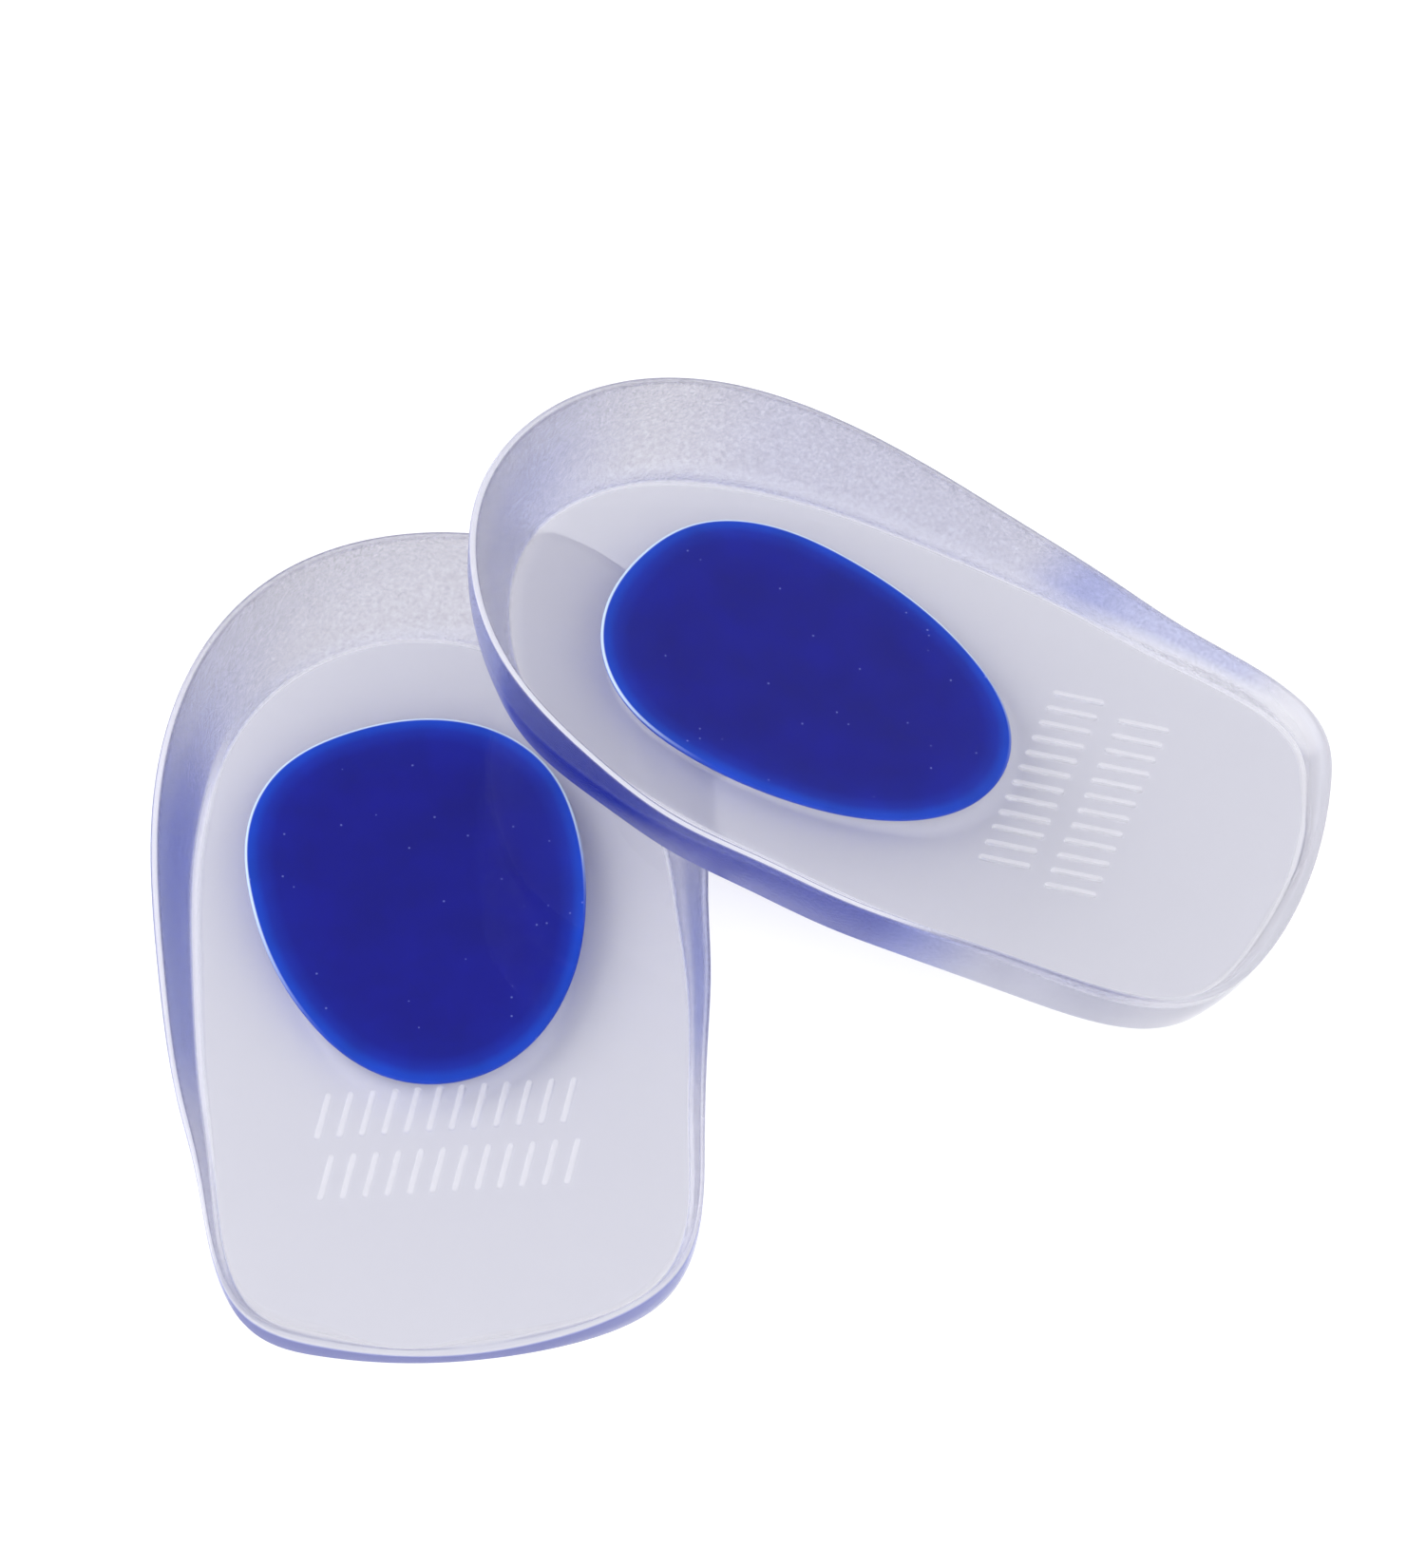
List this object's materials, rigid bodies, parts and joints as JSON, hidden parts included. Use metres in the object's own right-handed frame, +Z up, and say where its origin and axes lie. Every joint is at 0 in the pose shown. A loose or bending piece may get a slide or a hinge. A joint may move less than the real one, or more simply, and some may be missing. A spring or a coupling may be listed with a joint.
{
  "type": "gel heel cup insole pair",
  "caption": "Clear silicone heel cups for the left and right foot, each with a raised rim round the heel and a soft blue gel pad under it; one rests across the other.",
  "frame": {"origin": "middle of the pair's bounding box, on the surface that it lies on", "axes": "+Z up; +Y points away from the viewer, roughly from the left cup's tongue to its heel; +X to the right, towards the tongue of the right cup"},
  "size_m": [0.1468, 0.1264, 0.0447],
  "materials": {
    "clear_gel": "clear soft silicone, glossy sole, finely grained walls",
    "blue_gel": "deep blue soft silicone gel, satin, under a clear skin"
  },
  "bodies": {
    "left_cup": {"left_cup_shell": "clear_gel", "left_gel_pad": "blue_gel"},
    "right_cup": {"right_cup_shell": "clear_gel", "right_gel_pad": "blue_gel"}
  },
  "joints": [
    {"name": "right_cup_lift", "type": "slide", "parent": "left_cup", "child": "right_cup", "axis": [0, 0, 1], "range_m": [0, 0.1]}
  ]
}
